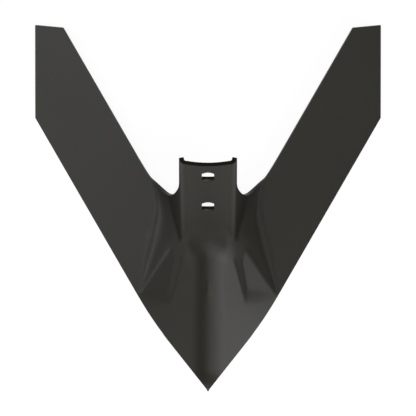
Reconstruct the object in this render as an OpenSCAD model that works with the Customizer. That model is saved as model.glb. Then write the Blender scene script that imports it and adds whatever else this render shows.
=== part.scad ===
// Cultivator sweep: a soil-working blade formed from one plate.
// A pointed nose rises to a crown, two swept wings run back from it, and a channel-shaped stem
// leans back above the crown with two countersunk square holes for plow bolts.
// The blade rests on its cutting edges: +Y points back, away from the point, and +Z is up.

/* [Blade] */
// Width across the wing ends
blade_width = 355.6; // [320:0.1:400]
// Length from the point to the outer corners of the wings
blade_length = 376.6; // [350:0.1:410]
// Thickness of the plate
plate = 4.8; // [4:0.1:7]
// Height of the blunt cutting edge
edge_height = 2.4; // [1.5:0.1:3.5]
// Width of the cut-off point
point_flat = 1.6; // [1:0.1:4]

/* [Point] */
// Plan angle of the point's edges from the line of travel
point_angle = 38.4; // [35:0.1:41]
// Length of the point before its edges start to curve
point_length = 50; // [40:1:60]
// Plan radius that leads the point's edges into the wings' edges
edge_radius = 390; // [320:5:450]
// Slope of the point's flanks, square to its edges
point_lift = 32; // [28:0.5:35]
// Half width of the rounded ridge
ridge_half = 17.8; // [14:0.1:22]

/* [Wings] */
// Plan angle of the wings' edges from the line of travel
wing_angle = 30; // [28:0.1:32]
// Width of a wing in plan, square to its cutting edge
wing_chord = 72; // [64:0.5:80]
// Lift of the outer wing, square to its cutting edge
wing_lift = 12; // [9:0.5:15]
// Lift of the wing's root beside the point
root_lift = 29; // [24:0.5:31]
// Skew of the cut at a wing's end
end_skew = 5.8; // [0:0.1:9]

/* [Crown] */
// Distance of the crown's bend from the point
crown_y = 155.5; // [148:0.5:160]
// Length of the crown's bend
crown_bend = 25; // [18:1:32]
// Extra slope of the point's sides below the crown
side_drop = 1.1; // [0.8:0.05:1.4]
// Slope of the skirts that spread from the stem to the wings
skirt_slope = 1.6; // [1.3:0.05:2]
// Angle of the skirts' front from the ground
skirt_angle = 47.7; // [44:0.1:52]
// Radius of the hollow at the foot of the skirts
foot_fillet = 10; // [6:0.5:14]

/* [Stem] */
// Angle of the stem from the ground
stem_angle = 58.2; // [54:0.1:61]
// Distance of the stem's upper edge from the point
stem_end_y = 230.4; // [224:0.1:238]
// Width across the stem's ears at their bends
stem_width = 58; // [54:0.5:62]
// Outer radius of the bends between the web and the ears
ear_bend = 7; // [6:0.5:9]
// Depth of the ears behind the middle of the web
ear_depth = 10.4; // [9.5:0.1:13]
// Outward draft of the ears
ear_draft = 14; // [10:0.5:18]
// Radius of the web's slight bow across the stem
web_bow = 110; // [80:5:200]

/* [Crotch between stem and wing] */
// Sideways place of the crotch's deepest point
crotch_x = 38.8; // [36:0.1:42]
// Distance of the crotch's deepest point from the nose point
crotch_y = 201.2; // [196:0.1:206]
// Rise of the crotch's curve along the stem
crotch_rise = 13; // [9:0.5:18]

/* [Bolt holes] */
// Distance between the two bolts
bolt_pitch = 57.15; // [52:0.05:60]
// Distance of the upper bolt from the stem's upper edge
bolt_end = 20.9; // [17:0.1:24]
// Width of a square hole
bolt_square = 12.4; // [11:0.1:14]
// Diameter of a countersink at the web's face
sink_diameter = 17.8; // [16:0.1:22]
// Included angle of the countersinks
sink_angle = 115; // [90:1:125]

/* [Hidden] */
coat = [0.15, 0.15, 0.14];
blade_half = blade_width / 2;

// Soft step: nothing below zero, then a rounded start over a span, then the value itself
function rise(value, span) =
    value <= 0 ? 0 : value < span ? value * value / (2 * span) : value - span / 2;
// Upper and lower envelope of two heights with a hollow or a round where they meet
function hollow(low, high, span) = low + rise(high - low + span / 2, span);
function round_off(high, low, span) = high - rise(high - low + span / 2, span);
// Smooth change from 0 to 1 while a value passes between two limits
function ease(value, start, end) =
    let (t = min(1, max(0, (value - start) / (end - start)))) t * t * (3 - 2 * t);
function mix(a, b, t) = a + (b - a) * t;

// Plan outline: the cutting edge is straight, then an arc, then straight to the wing's side
point_end_x = point_length * tan(point_angle);
arc_x = point_end_x - edge_radius * cos(point_angle);
arc_y = point_length + edge_radius * sin(point_angle);
wing_start_x = arc_x + edge_radius * cos(wing_angle);
wing_start_y = arc_y - edge_radius * sin(wing_angle);
wing_corner_y = wing_start_y + (blade_half - wing_start_x) / tan(wing_angle);
function edge_line(y) =
    y < point_length ? y * tan(point_angle)
    : y < wing_start_y ? arc_x + sqrt(pow(edge_radius, 2) - pow(arc_y - y, 2))
    : wing_start_x + (y - wing_start_y) * tan(wing_angle);
function edge_x(y) = min(blade_half, max(point_flat / 2, edge_line(y)));

// The rear edge is parallel to the cutting edge and curves into the crotch beside the stem.
// The plate's square-cut rear faces lean back, so their upper corners stand in from the outline.
rear_setback = plate * sin(wing_lift);
function rear_line(y) = edge_line(y) - (wing_chord - rear_setback) / cos(wing_angle);
crotch_corner_x = rear_line(crotch_y);
crotch_end_x = crotch_corner_x + 2 * (crotch_corner_x - crotch_x);
crotch_end_y = crotch_y + (crotch_end_x - crotch_corner_x) / tan(wing_angle);
function crotch_curve(y) =
    let (t = sqrt(max(0, (y - crotch_y) / (crotch_end_y - crotch_y))))
    mix(mix(crotch_x, crotch_corner_x, t), mix(crotch_corner_x, crotch_end_x, t), t);
function rear_x(y) = y < crotch_end_y ? crotch_curve(y) : rear_line(y);
end_y = blade_length - rear_setback * sin(wing_angle);
wing_end_y = end_y - (blade_half - rear_line(end_y)) * tan(end_skew);

// Point: straight flanks from a rounded ridge to the cutting edge
flank_slope = tan(point_lift) * cos(point_angle);
function ridge_run(x) = x < ridge_half ? (x * x / ridge_half + ridge_half) / 2 : x;
function ridge_height(y) = flank_slope * (ridge_run(y * tan(point_angle)) - ridge_half / 2);
function point_z(x, y) =
    let (crest = ridge_half / 2, foot = ridge_run(edge_x(y)))
    edge_height + ridge_height(y) * (foot - ridge_run(x)) / (foot - crest);

// Wing: lift eases from its root to its outer part in a fan about the start of the wing's edge
fan_start = 40;
fan_end = 66;
function fan_angle(x, y) = atan2(wing_start_x - x, y - wing_start_y) + wing_angle;
function wing_z(x, y) =
    let (lift = mix(wing_lift, root_lift, ease(fan_angle(x, y), fan_start, fan_end)))
    edge_height + (edge_line(y) - x) * cos(wing_angle) * tan(lift);

// The flank gives way to the wing over a soft band behind the point
heel_ahead = 10;
heel_behind = 8;
heel_end = wing_start_y + heel_behind;
function heel_share(y) = ease(y, wing_start_y - heel_ahead, heel_end);
function flank_z(x, y) =
    let (point = point_z(x, y), wing = wing_z(x, y))
    mix(point, x < ridge_half ? min(point, wing) : wing, heel_share(y));

// The ridge stands above the wings' roots on steeper sides that close in towards the crown
side_start_x = 33;
side_end_x = 20.5;
side_end_y = crown_y - 5;
side_round = 9;
valley_span = 4;
function side_x(y) = mix(side_start_x, side_end_x, (y - heel_end) / (side_end_y - heel_end));
function nose_z(x, y) = point_z(x, y) - side_drop * rise(x - side_x(y), side_round);
function roof_z(x, y) = hollow(flank_z(x, y), nose_z(x, y), valley_span * heel_share(y));

// Stem: a section swept up the stem's slope, bowed web, round bends and drafted ears
web_half = stem_width / 2 - ear_bend;
bend_end_x = web_half + ear_bend * cos(ear_draft);
bend_end_depth = ear_bend * (1 - sin(ear_draft));
function bow_depth(x) = x * x / (2 * web_bow);
function section_depth(x) =
    x < web_half ? bow_depth(x)
    : x < bend_end_x ? bow_depth(web_half) + ear_bend - sqrt(pow(ear_bend, 2) - pow(x - web_half, 2))
    : bow_depth(web_half) + bend_end_depth + (x - bend_end_x) / tan(ear_draft);
ear_x = bend_end_x + (ear_depth - bow_depth(web_half) - bend_end_depth) * tan(ear_draft);
crown_z = point_z(0, crown_y);
function web_z(y) = crown_z + (y - crown_y) * tan(stem_angle);
function stem_z(x, y) = web_z(y) - section_depth(x) / cos(stem_angle);

// Skirts: they spread from the stem's foot to a crease on the wing, and end just under the stem's front
skirt_start_x = 32;
skirt_start_y = 131;
skirt_end_x = 52;
skirt_end_y = 206;
shoulder_span = 10;
fin_span = 16;
flare_span = 10;
function skirt_x(y) =
    mix(skirt_start_x, skirt_end_x, (y - skirt_start_y) / (skirt_end_y - skirt_start_y));
function skirt_z(x, y) = let (foot = skirt_x(y)) flank_z(foot, y) + skirt_slope * (foot - x);
flare_start_z = flank_z(skirt_start_x, skirt_start_y);
function flare_z(y) = flare_start_z + (y - skirt_start_y) * tan(skirt_angle);
function front_z(y) = hollow(web_z(y) - fin_span / 2, flare_z(y), flare_span);
function base_z(x, y) = round_off(front_z(y), skirt_z(x, y), shoulder_span);
function body_z(x, y) = hollow(stem_z(x, y), base_z(x, y), fin_span);

// Height of the plate's upper face
crown_span = (tan(stem_angle) - flank_slope * tan(point_angle)) * crown_bend;
blend_end_x = 1.6 * ridge_half;
function blend_span(x) = mix(crown_span, foot_fillet, ease(x, ridge_half, blend_end_x));
function top_z(x, y) = hollow(roof_z(x, y), body_z(x, y), blend_span(x));

// Sections run across the plate through guide lines that follow its creases
guide_steps = [4, 4, 4, 4, 3, 3];
guide_share = [0.4, 0.55, 0.7, 0.8, 0.9];
guide_gap = 4;
wing_guide = 0.35;
stem_start_y = crown_y + 9;
function guides(y) =
    let (natural = [
        lookup(y, [[crown_y - crown_bend, ridge_half], [stem_start_y, web_half]]),
        lookup(y, [[heel_end, side_start_x], [side_end_y, side_end_x], [stem_start_y, bend_end_x]]),
        lookup(y, [[heel_end, side_start_x + guide_gap], [side_end_y, side_end_x + guide_gap],
            [stem_start_y, bend_end_x + guide_gap], [crotch_y, crotch_x]]),
        skirt_x(max(y, skirt_start_y)) + 2 * guide_gap,
        lookup(y, [[heel_end, wing_start_x - 2 * guide_gap], [crown_y, skirt_x(crown_y) + 4 * guide_gap],
            [crotch_y, mix(skirt_x(crotch_y), edge_x(crotch_y), wing_guide)]])])
    [for (i = [0 : 4]) min(natural[i], guide_share[i] * edge_x(y))];
function spread(stops, steps) =
    [for (i = [0 : len(steps) - 1], k = [0 : steps[i] - 1]) mix(stops[i], stops[i + 1], k / steps[i])];
function half_section(y) =
    let (stops = concat([0], guides(y), [edge_x(y)])) concat(spread(stops, guide_steps), [edge_x(y)]);
half_count = guide_steps[0] + guide_steps[1] + guide_steps[2] + guide_steps[3]
    + guide_steps[4] + guide_steps[5];
stem_count = guide_steps[0] + guide_steps[1] + guide_steps[2];
wing_count = half_count - stem_count;

// Rows of plan points for the right half: nose, stem and wing
nose_rows = 40;
stem_rows = 10;
crotch_steps = 8;
blade_steps = 6;
end_steps = 5;
wing_rows = crotch_steps + blade_steps + end_steps;
nose_plan = [for (i = [0 : nose_rows]) let (y = crotch_y * i / nose_rows)
    [for (x = half_section(y)) [x, y]]];
function stem_side(y) =
    let (t = min(1, max(0, 1 - (y - crotch_y) / crotch_rise)))
    crotch_x - (crotch_x - ear_x) * sqrt(1 - t * t);
crotch_row = nose_plan[nose_rows];
stem_plan = [for (i = [1 : stem_rows]) let (t = i / stem_rows, base = mix(crotch_y, stem_end_y, t))
    [for (j = [0 : stem_count])
        let (x = crotch_row[j][0],
            side = stem_side(base + t * ear_depth * sin(stem_angle)),
            fitted = x <= bend_end_x ? x
                : mix(bend_end_x, side, (x - bend_end_x) / (crotch_x - bend_end_x)))
        [fitted, base + t * section_depth(fitted) * sin(stem_angle)]]];
wing_stations = concat(
    [for (k = [1 : crotch_steps]) mix(crotch_y, crotch_end_y, pow(k / crotch_steps, 2))],
    [for (k = [1 : blade_steps]) mix(crotch_end_y, wing_corner_y, k / blade_steps)],
    [for (k = [1 : end_steps]) mix(wing_corner_y, end_y, k / end_steps)]);
function wing_share(j) =
    (crotch_row[stem_count + j][0] - crotch_x) / (edge_x(crotch_y) - crotch_x);
function skewed(y) =
    y < wing_corner_y ? y
    : mix(wing_corner_y, wing_end_y, (y - wing_corner_y) / (end_y - wing_corner_y));
wing_plan = [for (y_out = wing_stations) let (y_in = skewed(y_out))
    [for (j = [0 : wing_count]) let (u = wing_share(j))
        [mix(rear_x(y_in), edge_x(y_out), u), mix(y_in, y_out, u)]]];

// Both halves as one list of plan points, and each point's number in it
function mirrored(row) = [for (j = [len(row) - 1 : -1 : 1]) [-row[j][0], row[j][1]]];
function flipped(row) = [for (p = row) [-p[0], p[1]]];
nose_width = 2 * half_count + 1;
stem_span = 2 * stem_count + 1;
plan_points = concat(
    [for (row = nose_plan) each concat(mirrored(row), row)],
    [for (row = stem_plan) each concat(mirrored(row), row)],
    [for (row = wing_plan) each row],
    [for (row = wing_plan) each flipped(row)]);
stem_first = (nose_rows + 1) * nose_width;
wing_first = [stem_first + stem_rows * stem_span,
    stem_first + stem_rows * stem_span + wing_rows * (wing_count + 1)];
function nose_id(i, j) = i * nose_width + j + half_count;
function stem_id(i, j) = i == 0 ? nose_id(nose_rows, j) : stem_first + (i - 1) * stem_span + j + stem_count;
function wing_id(side, i, j) =
    i == 0 ? nose_id(nose_rows, side * (stem_count + j))
    : wing_first[side > 0 ? 0 : 1] + (i - 1) * (wing_count + 1) + j;

// The lower face lies a plate's thickness below the upper one, along its normal
slope_step = 0.02;
function top_point(p) = [p[0], p[1], top_z(abs(p[0]), p[1])];
function lower_point(p) =
    let (x = abs(p[0]), side = p[0] < 0 ? -1 : 1, h = slope_step,
        slope_x = (top_z(x + h, p[1]) - top_z(abs(x - h), p[1])) / (2 * h),
        slope_y = (top_z(x, p[1] + h) - top_z(x, p[1] - h)) / (2 * h),
        normal = [-side * slope_x, -slope_y, 1] / sqrt(1 + slope_x * slope_x + slope_y * slope_y))
    top_point(p) - plate * normal;

// Two triangles for each cell of the grid, with mirrored diagonals on the two halves
function cell(a, b, c, d, right) = right ? [[a, c, b], [a, d, c]] : [[a, d, b], [b, d, c]];
upper_faces = concat(
    [for (i = [0 : nose_rows - 1], j = [-half_count : half_count - 1])
        each cell(nose_id(i, j), nose_id(i, j + 1), nose_id(i + 1, j + 1), nose_id(i + 1, j), j >= 0)],
    [for (i = [0 : stem_rows - 1], j = [-stem_count : stem_count - 1])
        each cell(stem_id(i, j), stem_id(i, j + 1), stem_id(i + 1, j + 1), stem_id(i + 1, j), j >= 0)],
    [for (i = [0 : wing_rows - 1], j = [0 : wing_count - 1])
        each cell(wing_id(1, i, j), wing_id(1, i, j + 1), wing_id(1, i + 1, j + 1),
            wing_id(1, i + 1, j), true)],
    [for (i = [0 : wing_rows - 1], j = [0 : wing_count - 1])
        each cell(wing_id(-1, i, j + 1), wing_id(-1, i, j), wing_id(-1, i + 1, j),
            wing_id(-1, i + 1, j + 1), false)]);

// The outline's point numbers, anticlockwise from the point's left corner
outline = concat(
    [for (j = [-half_count : half_count]) nose_id(0, j)],
    [for (i = [1 : nose_rows]) nose_id(i, half_count)],
    [for (i = [1 : wing_rows]) wing_id(1, i, wing_count)],
    [for (j = [wing_count - 1 : -1 : 0]) wing_id(1, wing_rows, j)],
    [for (i = [wing_rows - 1 : -1 : 0]) wing_id(1, i, 0)],
    [for (i = [1 : stem_rows]) stem_id(i, stem_count)],
    [for (j = [stem_count - 1 : -1 : -stem_count]) stem_id(stem_rows, j)],
    [for (i = [stem_rows - 1 : -1 : 1]) stem_id(i, -stem_count)],
    [for (i = [0 : wing_rows]) wing_id(-1, i, 0)],
    [for (j = [1 : wing_count]) wing_id(-1, wing_rows, j)],
    [for (i = [wing_rows - 1 : -1 : 1]) wing_id(-1, i, wing_count)],
    [for (i = [nose_rows : -1 : 1]) nose_id(i, -half_count)]);

module formed_plate() {
    count = len(plan_points);
    loop = len(outline);
    lower_faces = [for (f = upper_faces) [f[0] + count, f[2] + count, f[1] + count]];
    edge_faces = [for (i = [0 : loop - 1])
        let (a = outline[i], b = outline[(i + 1) % loop])
        each [[a, b, b + count], [a, b + count, a + count]]];
    polyhedron(
        points = concat([for (p = plan_points) top_point(p)], [for (p = plan_points) lower_point(p)]),
        faces = concat(upper_faces, lower_faces, edge_faces));
}

// Square hole for a plow bolt's neck, with a countersink for its head
module bolt_hole(along) {
    y = stem_end_y - along * cos(stem_angle);
    sink_depth = (sink_diameter - bolt_square) / 2 / tan(sink_angle / 2);
    clear = 1;
    spread_at_clear = clear * tan(sink_angle / 2);
    translate([0, y, web_z(y)])
        rotate([stem_angle, 0, 0]) {
            translate([-bolt_square / 2, -bolt_square / 2, -3 * plate])
                cube([bolt_square, bolt_square, 3 * plate + clear]);
            translate([0, 0, -sink_depth])
                cylinder(h = sink_depth + clear, r1 = bolt_square / 2,
                    r2 = sink_diameter / 2 + spread_at_clear, $fn = 64);
        }
}

// The formed plate with its ground underside and bolt holes
module sweep() {
    color(coat)
        translate([0, -blade_length / 2, 0])
            difference() {
                formed_plate();
                translate([-blade_width, -blade_width, -4 * plate])
                    cube([2 * blade_width, 3 * blade_length, 4 * plate]);
                for (bolt = [0, 1])
                    bolt_hole(bolt_end + bolt * bolt_pitch);
            }
}

sweep();
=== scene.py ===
"""A cultivator sweep: one formed steel plate with a dark satin coating, on a plain pale floor.

The frame gives the solid's place and box. The plate is modelled again here on a finer grid, with the
same crown, skirts, stem and wings as the solid, small rounded edges and smooth faces.
Lengths are in metres: +Y points back from the blade's point, and +Z is up.
"""

import math

import bmesh
import bpy
import numpy as np
from bpy.props import FloatProperty, FloatVectorProperty, IntProperty, PointerProperty
from mathutils import Matrix, Vector


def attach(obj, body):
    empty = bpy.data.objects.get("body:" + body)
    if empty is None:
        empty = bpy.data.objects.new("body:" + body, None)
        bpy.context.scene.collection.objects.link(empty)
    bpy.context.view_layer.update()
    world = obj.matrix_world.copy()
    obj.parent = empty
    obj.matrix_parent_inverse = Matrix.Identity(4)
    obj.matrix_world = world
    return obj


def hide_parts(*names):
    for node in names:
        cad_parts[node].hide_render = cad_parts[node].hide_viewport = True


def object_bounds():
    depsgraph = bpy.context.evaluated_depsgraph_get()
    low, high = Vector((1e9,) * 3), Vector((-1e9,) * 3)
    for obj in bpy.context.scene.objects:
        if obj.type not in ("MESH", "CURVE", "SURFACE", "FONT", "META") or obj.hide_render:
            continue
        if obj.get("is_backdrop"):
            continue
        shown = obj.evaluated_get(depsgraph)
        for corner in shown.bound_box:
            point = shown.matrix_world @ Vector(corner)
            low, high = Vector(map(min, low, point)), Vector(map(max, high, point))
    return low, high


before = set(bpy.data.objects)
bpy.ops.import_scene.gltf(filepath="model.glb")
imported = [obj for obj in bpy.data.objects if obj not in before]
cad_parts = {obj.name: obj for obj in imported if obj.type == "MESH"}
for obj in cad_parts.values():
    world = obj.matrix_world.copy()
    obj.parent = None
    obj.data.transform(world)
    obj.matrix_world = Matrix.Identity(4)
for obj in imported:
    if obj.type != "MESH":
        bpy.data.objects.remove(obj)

bl_info = {
    "name": "Cultivator sweep",
    "version": (1, 0, 0),
    "blender": (4, 5, 0),
    "location": "View3D > Sidebar > Sweep",
    "description": "Models a formed cultivator sweep, its coating and a studio stage",
    "category": "Add Mesh",
}

NODE = "sweep"
CAD_LOW, CAD_HIGH = (list(corner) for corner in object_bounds())
# Lamps and floor
LAMP_SIZE, LAMP_DISTANCE = 1.1, 2.2
FLOOR_HALF, FLOOR_GAP = 6.0, 0.0002
# Sharp edges of the outline, the room that their rounding needs, and its steps
SHARP_LOW, SHARP_HIGH = math.radians(40), math.radians(115)
ROUND_ROOM, ROUND_STEPS = 1.4, 2
# Cutters of the bolt holes
CUT_CLEAR, NECK_PLATES, SINK_SIDES = 0.001, 3, 64
PLANE_TOLERANCE = 1e-6
# Places of the sockets that are taken by number
OBJECT_COORDINATES, CAMERA_RAY, GLOSSY_RAY = 3, 0, 3
MIX_FACTOR, MIX_FIRST, MIX_SECOND, MIX_RESULT = 0, 6, 7, 2
# Patterns of the coating
CLOUDS = {"Scale": 14.0, "Detail": 4.0, "Roughness": 0.55}
FLOW = {"Scale": 160.0, "Detail": 3.0, "Roughness": 0.6}
GRAIN = {"Detail": 2.0, "Roughness": 0.5}
TONE_CLOUDS, TONE_FLOW = 0.7, 0.3
ROUGH_DROP, ROUGH_CLOUDS, ROUGH_FLOW = 0.05, 0.06, 0.04
BUMP_GRAIN, BUMP_FLOW, BUMP = 0.6, 0.4, {"Strength": 0.12, "Distance": 0.0002}


def length(label, text, value):
    """A length in metres that a user may change."""
    return FloatProperty(name=label, description=text, default=value, unit="LENGTH", precision=5)


def angle(label, text, degrees):
    """An angle that a user may change, written here in degrees."""
    return FloatProperty(name=label, description=text, default=math.radians(degrees), subtype="ANGLE")


def ratio(label, text, value):
    """A plain number that a user may change."""
    return FloatProperty(name=label, description=text, default=value, precision=3)


def tint(label, text, value):
    """A linear colour that a user may change."""
    return FloatVectorProperty(name=label, description=text, default=value, subtype="COLOR", min=0, max=1)


class SweepForm(bpy.types.PropertyGroup):
    """Sizes of the formed plate."""

    blade_width: length("Blade width", "Width across the wing ends", CAD_HIGH[0] - CAD_LOW[0])
    blade_length: length("Blade length", "Length from the point to the wing ends", CAD_HIGH[1] - CAD_LOW[1])
    plate: length("Plate", "Thickness of the plate", 0.0048)
    edge_height: length("Edge height", "Height of the blunt cutting edge", 0.0024)
    point_flat: length("Point flat", "Width of the cut-off point", 0.0016)
    point_angle: angle("Point angle", "Plan angle of the point's edges", 38.4)
    point_length: length("Point length", "Length before the point's edges curve", 0.050)
    edge_radius: length("Edge radius", "Plan radius between point and wing edges", 0.390)
    point_lift: angle("Point lift", "Slope of the point's flanks", 32)
    ridge_half: length("Ridge half width", "Half width of the rounded ridge", 0.0178)
    wing_angle: angle("Wing angle", "Plan angle of the wings' edges", 30)
    wing_chord: length("Wing chord", "Plan width of a wing", 0.072)
    wing_lift: angle("Wing lift", "Lift of the outer wing", 12)
    root_lift: angle("Root lift", "Lift of the wing's root beside the point", 29)
    end_skew: angle("End skew", "Skew of the cut at a wing's end", 5.8)
    crown_y: length("Crown", "Distance of the crown's bend from the point", 0.1555)
    crown_bend: length("Crown bend", "Length of the crown's bend", 0.025)
    side_drop: ratio("Side drop", "Extra slope of the point's sides", 1.1)
    skirt_slope: ratio("Skirt slope", "Slope of the skirts at the wings", 1.6)
    skirt_angle: angle("Skirt angle", "Angle of the skirts' front from the ground", 47.7)
    foot_fillet: length("Foot fillet", "Hollow at the foot of the skirts", 0.010)
    stem_angle: angle("Stem angle", "Angle of the stem from the ground", 58.2)
    stem_end_y: length("Stem end", "Distance of the stem's upper edge from the point", 0.2304)
    stem_width: length("Stem width", "Width across the stem's ears at their bends", 0.058)
    ear_bend: length("Ear bend", "Outer radius of the ears' bends", 0.007)
    ear_depth: length("Ear depth", "Depth of the ears behind the web", 0.0104)
    ear_draft: angle("Ear draft", "Outward draft of the ears", 14)
    web_bow: length("Web bow", "Radius of the web's bow across the stem", 0.110)
    crotch_x: length("Crotch offset", "Sideways place of the crotch", 0.0388)
    crotch_y: length("Crotch distance", "Distance of the crotch from the point", 0.2012)
    crotch_rise: length("Crotch rise", "Rise of the crotch's curve along the stem", 0.013)
    bolt_pitch: length("Bolt pitch", "Distance between the bolts", 0.05715)
    bolt_end: length("Bolt end distance", "Upper bolt to the stem's upper edge", 0.0209)
    bolt_square: length("Square hole", "Width of a square hole", 0.0124)
    sink_diameter: length("Countersink", "Diameter of a countersink", 0.0178)
    sink_angle: angle("Countersink angle", "Included angle of the countersinks", 115)
    edge_round: length("Edge round", "Rounding of the plate's cut edges", 0.0004)
    fineness: IntProperty(name="Fineness", description="Grid cells for each cell of the solid", default=3)


class CoatingLook(bpy.types.PropertyGroup):
    """Colours and gloss of the coating."""

    base: tint("Coating", "Colour of the coating", (0.0130, 0.0118, 0.0076))
    worn: tint("Coating, paler", "Colour where the coating is thinner", (0.0170, 0.0158, 0.0110))
    roughness: ratio("Roughness", "Mean roughness of the coating", 0.38)
    specular: ratio("Specular level", "Strength of the coating's reflection", 0.35)
    grain: length("Grain size", "Size of the coating's fine grain", 0.0006)


class StageLook(bpy.types.PropertyGroup):
    """Floor, background and light."""

    floor: tint("Floor", "Colour of the floor", (0.92, 0.92, 0.92))
    background: tint("Background", "Colour of the backdrop", (1.0, 1.0, 1.0))
    lamp_power: FloatProperty(
        name="Lamp power", description="Power of a lamp of share one", default=20, unit="POWER")
    floor_glow: ratio("Floor glow", "Share of plain white in the floor that the camera sees", 0.88)
    floor_white: ratio("Floor white", "Strength of the plain white in the floor", 1.06)
    sky: ratio("Sky", "Strength of the even light from all sides", 0.02)
    floor_mirror: ratio("Floor in reflections", "Brightness of the floor as the coating mirrors it", 0.63)
    view_width: length("View width", "Width that the camera takes in", 0.4280)
    camera_height: length("Camera height", "Height of the camera above the floor", 12.0)


def rise(value, span):
    """Soft step: nothing below zero, then a rounded start over a span, then the value itself."""
    return np.where(value <= 0, 0, np.where(value < span, value * value / (2 * span), value - span / 2))


def hollow(low, high, span):
    """Upper envelope of two heights, with a hollow where they meet."""
    return low + rise(high - low + span / 2, span)


def round_off(high, low, span):
    """Lower envelope of two heights, rounded where they meet."""
    return high - rise(high - low + span / 2, span)


def ease(value, start, end):
    """Smooth change from 0 to 1 while a value passes between two limits."""
    t = np.clip((value - start) / (end - start), 0, 1)
    return t * t * (3 - 2 * t)


def mix(a, b, t):
    """Straight change from a to b."""
    return a + (b - a) * t


class PlateShape:
    """Upper face of the plate as a height over its plan, for the right half, measured from the point."""

    FAN_START, FAN_END = math.radians(40), math.radians(66)
    SIDE_START_X, SIDE_END_X, SIDE_ROUND = 0.033, 0.0205, 0.009
    VALLEY_SPAN, SHOULDER_SPAN, FIN_SPAN = 0.004, 0.010, 0.016
    SKIRT_START, SKIRT_END = (0.032, 0.131), (0.052, 0.206)
    FLARE_SPAN = 0.010
    HEEL_AHEAD, HEEL_BEHIND, SIDE_END_GAP = 0.010, 0.008, 0.005
    SLOPE_STEP, LEAST_SPAN = 2e-5, 1e-9
    BLEND_END = 1.6

    def __init__(self, form):
        """Works out the plan's corners and the stem's section from the form's sizes."""
        self.form = f = form
        self.half = f.blade_width / 2
        self.arc_x = f.point_length * math.tan(f.point_angle) - f.edge_radius * math.cos(f.point_angle)
        self.arc_y = f.point_length + f.edge_radius * math.sin(f.point_angle)
        self.wing_start_x = self.arc_x + f.edge_radius * math.cos(f.wing_angle)
        self.wing_start_y = self.arc_y - f.edge_radius * math.sin(f.wing_angle)
        run = (self.half - self.wing_start_x) / math.tan(f.wing_angle)
        self.wing_corner_y = self.wing_start_y + run
        self.heel = (self.wing_start_y - self.HEEL_AHEAD, self.wing_start_y + self.HEEL_BEHIND)
        self.side_end_y = f.crown_y - self.SIDE_END_GAP
        self.rear_setback = f.plate * math.sin(f.wing_lift)
        corner = float(self.rear_line(f.crotch_y))
        self.crotch_xs = (f.crotch_x, corner, corner + 2 * (corner - f.crotch_x))
        self.crotch_end_y = f.crotch_y + (self.crotch_xs[2] - corner) / math.tan(f.wing_angle)
        self.end_y = f.blade_length - self.rear_setback * math.sin(f.wing_angle)
        end_run = self.half - float(self.rear_line(self.end_y))
        self.wing_end_y = self.end_y - end_run * math.tan(f.end_skew)
        self.flank_slope = math.tan(f.point_lift) * math.cos(f.point_angle)
        self.web_half = f.stem_width / 2 - f.ear_bend
        self.bend_end_x = self.web_half + f.ear_bend * math.cos(f.ear_draft)
        self.web_depth = self.web_half ** 2 / (2 * f.web_bow)
        self.bend_depth = self.web_depth + f.ear_bend * (1 - math.sin(f.ear_draft))
        self.ear_x = self.bend_end_x + (f.ear_depth - self.bend_depth) * math.tan(f.ear_draft)
        self.crown_z = float(self.point_z(np.array(0.0), np.array(f.crown_y)))
        self.skirt_z0 = float(self.flank_z(*(np.array(v) for v in self.SKIRT_START)))
        ridge_slope = self.flank_slope * math.tan(f.point_angle)
        self.crown_span = (math.tan(f.stem_angle) - ridge_slope) * f.crown_bend

    def edge_line(self, y):
        """Cutting edge, carried on past the wing's corner."""
        f = self.form
        arc = self.arc_x + np.sqrt(np.maximum(f.edge_radius ** 2 - (self.arc_y - y) ** 2, 0))
        straight = self.wing_start_x + (y - self.wing_start_y) * math.tan(f.wing_angle)
        nose = y * math.tan(f.point_angle)
        return np.where(y < f.point_length, nose, np.where(y < self.wing_start_y, arc, straight))

    def edge_x(self, y):
        """Outer side of the blade."""
        return np.clip(self.edge_line(y), self.form.point_flat / 2, self.half)

    def rear_line(self, y):
        """Rear edge of the wing's upper face, parallel to the cutting edge."""
        f = self.form
        return self.edge_line(y) - (f.wing_chord - self.rear_setback) / math.cos(f.wing_angle)

    def rear_x(self, y):
        """Rear edge with its curve into the crotch."""
        start, corner, end = self.crotch_xs
        t = np.sqrt(np.clip((y - self.form.crotch_y) / (self.crotch_end_y - self.form.crotch_y), 0, 1))
        curve = mix(mix(start, corner, t), mix(corner, end, t), t)
        return np.where(y < self.crotch_end_y, curve, self.rear_line(y))

    def ridge_run(self, x):
        """Sideways distance with the ridge's round."""
        half = self.form.ridge_half
        return np.where(x < half, (x * x / half + half) / 2, x)

    def point_z(self, x, y):
        """Point: straight flanks from the rounded ridge to the cutting edge."""
        f = self.form
        crest = f.ridge_half / 2
        foot = self.ridge_run(self.edge_x(y))
        height = self.flank_slope * (self.ridge_run(y * math.tan(f.point_angle)) - crest)
        return f.edge_height + height * (foot - self.ridge_run(x)) / (foot - crest)

    def wing_z(self, x, y):
        """Wing: its lift eases from the root to the outer part in a fan about the edge's start."""
        f = self.form
        turn = np.arctan2(self.wing_start_x - x, y - self.wing_start_y) + f.wing_angle
        lift = mix(f.wing_lift, f.root_lift, ease(turn, self.FAN_START, self.FAN_END))
        return f.edge_height + (self.edge_line(y) - x) * math.cos(f.wing_angle) * np.tan(lift)

    def flank_z(self, x, y):
        """Flank that gives way to the wing over a soft band behind the point."""
        point, wing = self.point_z(x, y), self.wing_z(x, y)
        under = np.where(x < self.form.ridge_half, np.minimum(point, wing), wing)
        return mix(point, under, ease(y, *self.heel))

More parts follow.
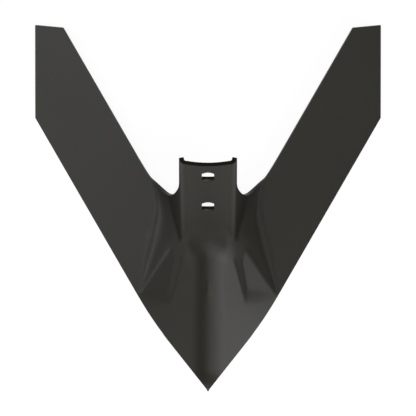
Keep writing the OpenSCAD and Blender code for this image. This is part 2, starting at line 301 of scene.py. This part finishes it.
    def roof_z(self, x, y):
        """The ridge's steeper sides above the wings' roots."""
        low = self.flank_z(x, y)
        share = (y - self.heel[1]) / (self.side_end_y - self.heel[1])
        side_x = mix(self.SIDE_START_X, self.SIDE_END_X, share)
        nose = self.point_z(x, y) - self.form.side_drop * rise(x - side_x, self.SIDE_ROUND)
        return hollow(low, nose, np.maximum(self.VALLEY_SPAN * ease(y, *self.heel), self.LEAST_SPAN))

    def section_depth(self, x):
        """Stem's section: bowed web, round bends and drafted ears."""
        f = self.form
        rest = np.sqrt(np.maximum(f.ear_bend ** 2 - (x - self.web_half) ** 2, 0))
        bend = self.web_depth + f.ear_bend - rest
        ear = self.bend_depth + (x - self.bend_end_x) / math.tan(f.ear_draft)
        web = x * x / (2 * f.web_bow)
        return np.where(x < self.web_half, web, np.where(x < self.bend_end_x, bend, ear))

    def web_z(self, y):
        """Middle line of the stem's front."""
        return self.crown_z + (y - self.form.crown_y) * math.tan(self.form.stem_angle)

    def front_z(self, y):
        """Upper limit of the skirts: just under the stem's front, and flatter at their foot."""
        flare = self.skirt_z0 + (y - self.SKIRT_START[1]) * math.tan(self.form.skirt_angle)
        return hollow(self.web_z(y) - self.FIN_SPAN / 2, flare, self.FLARE_SPAN)

    def body_z(self, x, y):
        """Stem with the skirts that spread from its foot."""
        f = self.form
        stem = self.web_z(y) - self.section_depth(x) / math.cos(f.stem_angle)
        share = (y - self.SKIRT_START[1]) / (self.SKIRT_END[1] - self.SKIRT_START[1])
        foot = mix(self.SKIRT_START[0], self.SKIRT_END[0], share)
        skirt = self.flank_z(foot, y) + f.skirt_slope * (foot - x)
        base = round_off(self.front_z(y), skirt, self.SHOULDER_SPAN)
        return hollow(stem, base, self.FIN_SPAN)

    def top_z(self, x, y):
        """Height of the upper face."""
        f = self.form
        span = mix(self.crown_span, f.foot_fillet, ease(x, f.ridge_half, self.BLEND_END * f.ridge_half))
        return hollow(self.roof_z(x, y), self.body_z(x, y), span)

    def upper(self, plan):
        """Points of the upper face over plan points."""
        return np.column_stack((plan, self.top_z(np.abs(plan[:, 0]), plan[:, 1])))

    def lower(self, plan):
        """Points of the lower face, a plate's thickness below the upper one along its normal."""
        x, y = np.abs(plan[:, 0]), plan[:, 1]
        side = np.where(plan[:, 0] < 0, -1, 1)
        h = self.SLOPE_STEP
        slope_x = (self.top_z(x + h, y) - self.top_z(np.abs(x - h), y)) / (2 * h)
        slope_y = (self.top_z(x, y + h) - self.top_z(x, y - h)) / (2 * h)
        normal = np.column_stack((-side * slope_x, -slope_y, np.ones_like(x)))
        normal /= np.linalg.norm(normal, axis=1)[:, None]
        return self.upper(plan) - self.form.plate * normal


class PlateGrid:
    """Rows of plan points across the plate that follow its creases, and the faces between them."""

    GUIDE_STEPS = (4, 4, 4, 4, 3, 3)
    GUIDE_SHARE = (0.4, 0.55, 0.7, 0.8, 0.9)
    GUIDE_GAP, SKIRT_GAP, CROWN_GAP = 0.004, 0.008, 0.016
    STEM_START, WING_GUIDE = 0.009, 0.35
    NOSE_ROWS, STEM_ROWS, CROTCH_STEPS, BLADE_STEPS, END_STEPS = 40, 10, 8, 6, 5

    def __init__(self, shape, fineness):
        """Makes the plan points, their numbers and the faces."""
        self.shape = shape
        self.steps = [count * fineness for count in self.GUIDE_STEPS]
        self.half_count = sum(self.steps)
        self.stem_count = sum(self.steps[:3])
        self.wing_count = self.half_count - self.stem_count
        self.points = []
        self.nose = self.add_rows(self.nose_plan(self.NOSE_ROWS * fineness))
        self.stem = [self.nose[-1][self.half_count - self.stem_count:self.half_count + self.stem_count + 1]]
        self.stem += self.add_rows(self.stem_plan(self.STEM_ROWS * fineness))
        stations = self.wing_stations(fineness)
        self.wings = []
        for side in (1, -1):
            row = self.nose[-1][self.half_count:] if side > 0 else self.nose[-1][self.half_count::-1]
            rows = [row[self.stem_count:]]
            rows += [self.add(plan * (side, 1)) for plan in self.wing_plan(stations)]
            self.wings.append(rows)
        self.plan = np.concatenate(self.points)

    def add(self, plan):
        """Keeps one row of plan points and gives their numbers."""
        first = sum(len(row) for row in self.points)
        self.points.append(plan)
        return list(range(first, first + len(plan)))

    def add_rows(self, rows):
        """Keeps rows given for the right half, mirrored to the left."""
        return [self.add(np.concatenate((row[:0:-1] * (-1, 1), row))) for row in rows]

    def half_section(self, y):
        """Sideways places of a section's points, from the middle to the cutting edge."""
        s, f = self.shape, self.shape.form
        skirt = np.interp(max(y, s.SKIRT_START[1]), *zip(s.SKIRT_START[::-1], s.SKIRT_END[::-1]))
        heel, crown, crotch = s.heel[1], f.crown_y, f.crotch_y
        gap, stem = self.GUIDE_GAP, f.crown_y + self.STEM_START
        crown_skirt, crotch_skirt = (
            np.interp(at, *zip(s.SKIRT_START[::-1], s.SKIRT_END[::-1])) for at in (crown, crotch))
        natural = (
            np.interp(y, (crown - f.crown_bend, stem), (f.ridge_half, s.web_half)),
            np.interp(y, (heel, s.side_end_y, stem), (s.SIDE_START_X, s.SIDE_END_X, s.bend_end_x)),
            np.interp(y, (heel, s.side_end_y, stem, crotch),
                      (s.SIDE_START_X + gap, s.SIDE_END_X + gap, s.bend_end_x + gap, f.crotch_x)),
            skirt + self.SKIRT_GAP,
            np.interp(y, (heel, crown, crotch),
                      (s.wing_start_x - self.SKIRT_GAP, crown_skirt + self.CROWN_GAP,
                       mix(crotch_skirt, float(s.edge_x(crotch)), self.WING_GUIDE))))
        edge = float(s.edge_x(np.array(y)))
        stops = [0, *(min(n, share * edge) for n, share in zip(natural, self.GUIDE_SHARE)), edge]
        places = [np.linspace(a, b, n, endpoint=False) for a, b, n in zip(stops, stops[1:], self.steps)]
        return np.append(np.concatenate(places), edge)

    def nose_plan(self, count):
        """Rows from the point to the crotch."""
        for i in range(count + 1):
            y = self.shape.form.crotch_y * i / count
            xs = self.half_section(y)
            yield np.column_stack((xs, np.full_like(xs, y)))

    def stem_plan(self, count):
        """Rows from the crotch to the stem's end, turning square to the stem."""
        s, f = self.shape, self.shape.form
        xs = self.half_section(f.crotch_y)[:self.stem_count + 1]
        slant = math.sin(f.stem_angle)
        for i in range(1, count + 1):
            t = i / count
            base = mix(f.crotch_y, f.stem_end_y, t)
            drop = 1 - (base + t * f.ear_depth * slant - f.crotch_y) / f.crotch_rise
            side = f.crotch_x - (f.crotch_x - s.ear_x) * math.sqrt(1 - min(1, max(0, drop)) ** 2)
            outer = mix(s.bend_end_x, side, (xs - s.bend_end_x) / (f.crotch_x - s.bend_end_x))
            fitted = np.where(xs <= s.bend_end_x, xs, outer)
            yield np.column_stack((fitted, base + t * s.section_depth(fitted) * slant))

    def wing_stations(self, fineness):
        """Distances of the wing's rows from the point."""
        s, f = self.shape, self.shape.form
        crotch = np.arange(1, self.CROTCH_STEPS * fineness + 1) / (self.CROTCH_STEPS * fineness)
        blade = np.arange(1, self.BLADE_STEPS * fineness + 1) / (self.BLADE_STEPS * fineness)
        end = np.arange(1, self.END_STEPS * fineness + 1) / (self.END_STEPS * fineness)
        return np.concatenate((mix(f.crotch_y, s.crotch_end_y, crotch ** 2),
                               mix(s.crotch_end_y, s.wing_corner_y, blade),
                               mix(s.wing_corner_y, s.end_y, end)))

    def wing_plan(self, stations):
        """Rows across the right wing, from its rear edge to its outer side."""
        s, f = self.shape, self.shape.form
        xs = self.half_section(f.crotch_y)[self.stem_count:]
        share = (xs - xs[0]) / (xs[-1] - xs[0])
        for y_out in stations:
            turn = max(0, (y_out - s.wing_corner_y) / (s.end_y - s.wing_corner_y))
            y_in = y_out if turn == 0 else mix(s.wing_corner_y, s.wing_end_y, turn)
            inner, outer = float(s.rear_x(np.array(y_in))), float(s.edge_x(np.array(y_out)))
            yield np.column_stack((mix(inner, outer, share), mix(y_in, y_out, share)))

    def cells(self):
        """Four point numbers for each cell, anticlockwise from above."""
        left_wing = [row[::-1] for row in self.wings[1]]
        for rows in (self.nose, self.stem, self.wings[0], left_wing):
            for low, high in zip(rows, rows[1:]):
                for j in range(len(low) - 1):
                    yield low[j], low[j + 1], high[j + 1], high[j]

    def outline(self):
        """Point numbers round the plate, anticlockwise from above."""
        right, left = self.wings
        loop = list(self.nose[0])
        loop += [row[-1] for row in self.nose[1:]]
        loop += [row[-1] for row in right[1:]]
        loop += right[-1][-2::-1]
        loop += [row[0] for row in right[-2::-1]]
        loop += [row[-1] for row in self.stem[1:]]
        loop += self.stem[-1][-2::-1]
        loop += [row[0] for row in self.stem[-2:0:-1]]
        loop += [row[0] for row in left]
        loop += left[-1][1:]
        loop += [row[-1] for row in left[-2:0:-1]]
        loop += [row[0] for row in self.nose[:0:-1]]
        return loop


def new_object(name, mesh):
    """Adds an object for a mesh to the scene."""
    thing = bpy.data.objects.new(name, mesh)
    bpy.context.scene.collection.objects.link(thing)
    return thing


def plate_mesh(shape, fineness):
    """Closed mesh of the formed plate, with its underside ground flat."""
    grid = PlateGrid(shape, fineness)
    move = np.array((0, -shape.form.blade_length / 2, 0))
    points = np.concatenate((shape.upper(grid.plan), shape.lower(grid.plan))) + move
    count = len(grid.plan)
    cells = list(grid.cells())
    faces = cells + [tuple(count + i for i in reversed(cell)) for cell in cells]
    loop = grid.outline()
    faces += [(b, a, count + a, count + b) for a, b in zip(loop, loop[1:] + loop[:1])]
    mesh = bpy.data.meshes.new(NODE)
    mesh.from_pydata(points.tolist(), [], faces)
    work = bmesh.new()
    work.from_mesh(mesh)
    whole = work.verts[:] + work.edges[:] + work.faces[:]
    cut = bmesh.ops.bisect_plane(work, geom=whole, dist=PLANE_TOLERANCE, plane_co=(0, 0, 0),
                                 plane_no=(0, 0, 1), clear_inner=True)
    rim = [item for item in cut["geom_cut"] if isinstance(item, bmesh.types.BMEdge)]
    bmesh.ops.edgeloop_fill(work, edges=rim)
    bmesh.ops.recalc_face_normals(work, faces=work.faces[:])
    work.to_mesh(mesh)
    work.free()
    return mesh


def hole_place(shape, along):
    """Middle of a bolt hole on the stem's front."""
    f = shape.form
    y = f.stem_end_y - along * math.cos(f.stem_angle)
    return Vector((0, y - f.blade_length / 2, float(shape.web_z(y))))


def hole_cutter(shape, place):
    """Solid of one bolt hole: a square neck with a cone above it, square to the stem."""
    f = shape.form
    turn = Matrix.Translation(place) @ Matrix.Rotation(f.stem_angle, 4, "X")
    sink_depth = (f.sink_diameter - f.bolt_square) / 2 / math.tan(f.sink_angle / 2)
    tools = []
    for part in ("neck", "sink"):
        work = bmesh.new()
        if part == "neck":
            tall = NECK_PLATES * f.plate + CUT_CLEAR
            size = Matrix.Diagonal((f.bolt_square, f.bolt_square, tall, 1))
            lift = Matrix.Translation((0, 0, CUT_CLEAR - tall / 2))
            bmesh.ops.create_cube(work, size=1, matrix=turn @ lift @ size)
        else:
            tall = sink_depth + CUT_CLEAR
            wide = f.sink_diameter / 2 + CUT_CLEAR * math.tan(f.sink_angle / 2)
            lift = Matrix.Translation((0, 0, CUT_CLEAR - tall / 2))
            bmesh.ops.create_cone(work, cap_ends=True, segments=SINK_SIDES, radius1=f.bolt_square / 2,
                                  radius2=wide, depth=tall, matrix=turn @ lift)
        mesh = bpy.data.meshes.new(part)
        work.to_mesh(mesh)
        work.free()
        tools.append(new_object(part, mesh))
    return tools


def apply_modifiers(thing):
    """Turns an object's modifiers into its mesh."""
    graph = bpy.context.evaluated_depsgraph_get()
    mesh = bpy.data.meshes.new_from_object(thing.evaluated_get(graph), depsgraph=graph)
    thing.modifiers.clear()
    old = thing.data
    thing.data = mesh
    bpy.data.meshes.remove(old)


def cut_away(thing, tools):
    """Cuts tools out of an object and removes them."""
    for tool in tools:
        cut = thing.modifiers.new(tool.name, "BOOLEAN")
        cut.operation = "DIFFERENCE"
        cut.solver = "EXACT"
        cut.object = tool
    apply_modifiers(thing)
    for tool in tools:
        mesh = tool.data
        bpy.data.objects.remove(tool)
        bpy.data.meshes.remove(mesh)


def mark_edges(mesh, holes, reach, room):
    """Marks the outline to be rounded where its cells leave room, and other sharp edges to stay crisp."""
    work = bmesh.new()
    work.from_mesh(mesh)
    rounded = work.edges.layers.float.new("bevel_weight_edge")
    sharp = {edge for edge in work.edges if SHARP_LOW < edge.calc_face_angle_signed(0) < SHARP_HIGH}
    for edge in sharp:
        middle = (edge.verts[0].co + edge.verts[1].co) / 2
        spokes = [spoke for vert in edge.verts for spoke in vert.link_edges if spoke not in sharp]
        wide = all(spoke.calc_length() > room for spoke in spokes)
        if wide and min((middle - hole).length for hole in holes) > reach:
            edge[rounded] = 1
        else:
            edge.smooth = False
    work.to_mesh(mesh)
    work.free()


class Socket:
    """A shader socket in Python expressions: its operators add Math nodes."""

    def __init__(self, sheet, link):
        """Keeps the node tree and the output socket."""
        self.sheet, self.link = sheet, link

    def math(self, operation, a, b):
        """Adds one Math node."""
        return self.sheet.node("ShaderNodeMath", {"operation": operation}, {0: a, 1: b})

    def __add__(self, other):
        return self.math("ADD", self, other)

    __radd__ = __add__

    def __mul__(self, other):
        return self.math("MULTIPLY", self, other)

    __rmul__ = __mul__


class Sheet:
    """A node tree with one way to add nodes."""

    def __init__(self, tree):
        """Starts from an empty tree."""
        self.tree = tree
        tree.nodes.clear()

    def node(self, kind, settings=None, inputs=None, output=0):
        """Adds a node: its settings first, then the values or links of its sockets."""
        made = self.tree.nodes.new(kind)
        for name, value in (settings or {}).items():
            setattr(made, name, value)
        for name, value in (inputs or {}).items():
            if isinstance(value, Socket):
                self.tree.links.new(value.link, made.inputs[name])
            else:
                made.inputs[name].default_value = value
        return Socket(self, made.outputs[output]) if made.outputs else made

    def mix_colour(self, factor, a, b):
        """Mixes two colours."""
        settings = {"data_type": "RGBA", "clamp_factor": True}
        return self.node("ShaderNodeMix", settings, {MIX_FACTOR: factor, MIX_FIRST: a, MIX_SECOND: b},
                         output=MIX_RESULT)


def opaque(colour):
    """A colour with full alpha."""
    return (*colour, 1.0)


def coated_steel(look):
    """Dark satin coating over formed steel, with a fine grain and slow changes of tone."""
    material = bpy.data.materials.new("coated_steel")
    material.use_nodes = True
    sheet = Sheet(material.node_tree)
    place = sheet.node("ShaderNodeTexCoord", output=OBJECT_COORDINATES)
    clouds = sheet.node("ShaderNodeTexNoise", None, {"Vector": place, **CLOUDS})
    flow = sheet.node("ShaderNodeTexNoise", None, {"Vector": place, **FLOW})
    grain = sheet.node("ShaderNodeTexNoise", None, {"Vector": place, "Scale": 1 / look.grain, **GRAIN})
    tone = clouds * TONE_CLOUDS + flow * TONE_FLOW
    colour = sheet.mix_colour(tone, opaque(look.base), opaque(look.worn))
    rough = look.roughness - ROUGH_DROP + clouds * ROUGH_CLOUDS + flow * ROUGH_FLOW
    height = grain * BUMP_GRAIN + flow * BUMP_FLOW
    bump = sheet.node("ShaderNodeBump", None, {"Height": height, **BUMP})
    shader = sheet.node("ShaderNodeBsdfPrincipled", None,
                        {"Base Color": colour, "Roughness": rough, "Specular IOR Level": look.specular,
                         "Normal": bump})
    sheet.node("ShaderNodeOutputMaterial", None, {"Surface": shader})
    return material


def pale_floor(look):
    """Pale floor that stays near white to the camera and in reflections, and keeps the object's shadow."""
    material = bpy.data.materials.new("pale_floor")
    material.use_nodes = True
    sheet = Sheet(material.node_tree)
    seen = sheet.node("ShaderNodeLightPath", output=CAMERA_RAY)
    mirrored = sheet.node("ShaderNodeLightPath", output=GLOSSY_RAY)
    lit = sheet.node("ShaderNodeBsdfDiffuse", None, {"Color": opaque(look.floor)})
    white = sheet.node("ShaderNodeEmission", None,
                       {"Color": opaque(look.background), "Strength": look.floor_white})
    dim = sheet.node("ShaderNodeEmission", None,
                     {"Color": opaque(look.background), "Strength": look.floor_mirror})
    shown = sheet.node("ShaderNodeMixShader", None, {0: seen * look.floor_glow, 1: lit, 2: white})
    surface = sheet.node("ShaderNodeMixShader", None, {0: mirrored, 1: shown, 2: dim})
    sheet.node("ShaderNodeOutputMaterial", None, {"Surface": surface})
    return material


class SWEEP_OT_plate(bpy.types.Operator):
    """Model the formed plate of the sweep and give it its coating"""

    bl_idname = "sweep.plate"
    bl_label = "Formed plate"

    def execute(self, context):
        """Builds the plate in place of the solid."""
        form = context.scene.sweep_form
        shape = PlateShape(form)
        plate = new_object("formed_plate", plate_mesh(shape, form.fineness))
        holes = [hole_place(shape, form.bolt_end + bolt * form.bolt_pitch) for bolt in (0, 1)]
        cut_away(plate, [tool for place in holes for tool in hole_cutter(shape, place)])
        plate.data.shade_smooth()
        mark_edges(plate.data, holes, form.sink_diameter, ROUND_ROOM * form.edge_round)
        edges = plate.modifiers.new("edge_round", "BEVEL")
        edges.width = form.edge_round
        edges.segments = ROUND_STEPS
        edges.limit_method = "WEIGHT"
        edges.use_clamp_overlap = False
        edges.harden_normals = True
        apply_modifiers(plate)
        if len(plate.data.polygons) == 0:
            raise RuntimeError("the plate has no faces")
        plate.data.materials.clear()
        plate.data.materials.append(coated_steel(context.scene.sweep_coating))
        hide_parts(NODE)
        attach(plate, "root")
        return {"FINISHED"}


def area_lamp(name, turn, height, power):
    """Soft square lamp that faces the blade and stays out of the camera's sight."""
    data = bpy.data.lights.new(name, "AREA")
    data.shape = "SQUARE"
    data.size = LAMP_SIZE
    data.energy = power
    lamp = bpy.data.objects.new(name, data)
    turn, height = math.radians(turn), math.radians(height)
    way = Vector((math.cos(turn) * math.cos(height), math.sin(turn) * math.cos(height), math.sin(height)))
    lamp.location = LAMP_DISTANCE * way
    lamp.rotation_euler = (-way).to_track_quat("-Z", "Y").to_euler()
    lamp.visible_camera = False
    bpy.context.scene.collection.objects.link(lamp)


class SWEEP_OT_stage(bpy.types.Operator):
    """Set up the floor, the light and the camera straight above the blade"""

    bl_idname = "sweep.stage"
    bl_label = "Stage"
    LAMPS = (
        ("key_lamp", 315, 18, 0.58),
        ("high_key_lamp", 315, 35, 0.32),
        ("front_lamp", 285, 35, 0.36),
        ("low_front_lamp", 270, 18, 0.16),
        ("front_left_lamp", 225, 18, 0.29),
        ("left_lamp", 180, 60, 0.57),
        ("low_left_lamp", 180, 18, 0.44),
        ("right_lamp", 0, 35, 0.23),
        ("top_lamp", 0, 85, 0.62),
    )

    def execute(self, context):
        """Builds the stage round the object."""
        look = context.scene.sweep_stage
        scene = context.scene
        scene.view_settings.view_transform = "Standard"
        self.floor(look)
        self.sky(scene, look)
        for name, turn, height, share in self.LAMPS:
            area_lamp(name, turn, height, look.lamp_power * share)
        middle = [(low + high) / 2 for low, high in zip(CAD_LOW, CAD_HIGH)]
        camera_data = bpy.data.cameras.new("camera")
        camera_data.lens = camera_data.sensor_width * look.camera_height / look.view_width
        camera = bpy.data.objects.new("camera", camera_data)
        camera.location = (middle[0], middle[1], look.camera_height)
        scene.collection.objects.link(camera)
        scene.camera = camera
        return {"FINISHED"}

    def floor(self, look):
        """Lays the floor under the cutting edges."""
        work = bmesh.new()
        bmesh.ops.create_grid(work, x_segments=1, y_segments=1, size=FLOOR_HALF)
        mesh = bpy.data.meshes.new("floor")
        work.to_mesh(mesh)
        work.free()
        floor = new_object("floor", mesh)
        floor.location.z = CAD_LOW[2] - FLOOR_GAP
        mesh.materials.append(pale_floor(look))
        floor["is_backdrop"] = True

    def sky(self, scene, look):
        """Lights the scene evenly, and shows white behind the object."""
        world = bpy.data.worlds.new("studio")
        scene.world = world
        world.use_nodes = True
        sheet = Sheet(world.node_tree)
        seen = sheet.node("ShaderNodeLightPath", output=CAMERA_RAY)
        white = opaque(look.background)
        soft = sheet.node("ShaderNodeBackground", None, {"Color": white, "Strength": look.sky})
        plain = sheet.node("ShaderNodeBackground", None, {"Color": white, "Strength": 1.0})
        both = sheet.node("ShaderNodeMixShader", None, {0: seen, 1: soft, 2: plain})
        sheet.node("ShaderNodeOutputWorld", None, {"Surface": both})


class SWEEP_PT_panel(bpy.types.Panel):
    """The sweep's pieces and sizes"""

    bl_idname = "SWEEP_PT_panel"
    bl_label = "Cultivator sweep"
    bl_space_type = "VIEW_3D"
    bl_region_type = "UI"
    bl_category = "Sweep"

    def draw(self, context):
        """Lists the operators and the settings."""
        layout = self.layout
        for operator in (SWEEP_OT_plate, SWEEP_OT_stage):
            layout.operator(operator.bl_idname)
        for group in (context.scene.sweep_form, context.scene.sweep_coating, context.scene.sweep_stage):
            box = layout.box()
            for name in group.__annotations__:
                box.prop(group, name)


CLASSES = (SweepForm, CoatingLook, StageLook, SWEEP_OT_plate, SWEEP_OT_stage, SWEEP_PT_panel)


def register():
    """Adds the classes and the scene's settings."""
    for item in CLASSES:
        bpy.utils.register_class(item)
    bpy.types.Scene.sweep_form = PointerProperty(type=SweepForm)
    bpy.types.Scene.sweep_coating = PointerProperty(type=CoatingLook)
    bpy.types.Scene.sweep_stage = PointerProperty(type=StageLook)


def unregister():
    """Takes the settings and the classes away."""
    del bpy.types.Scene.sweep_stage
    del bpy.types.Scene.sweep_coating
    del bpy.types.Scene.sweep_form
    for item in reversed(CLASSES):
        bpy.utils.unregister_class(item)


def main():
    """Builds the sweep and its stage."""
    register()
    bpy.ops.sweep.plate()
    bpy.ops.sweep.stage()


if __name__ == "__main__":
    main()
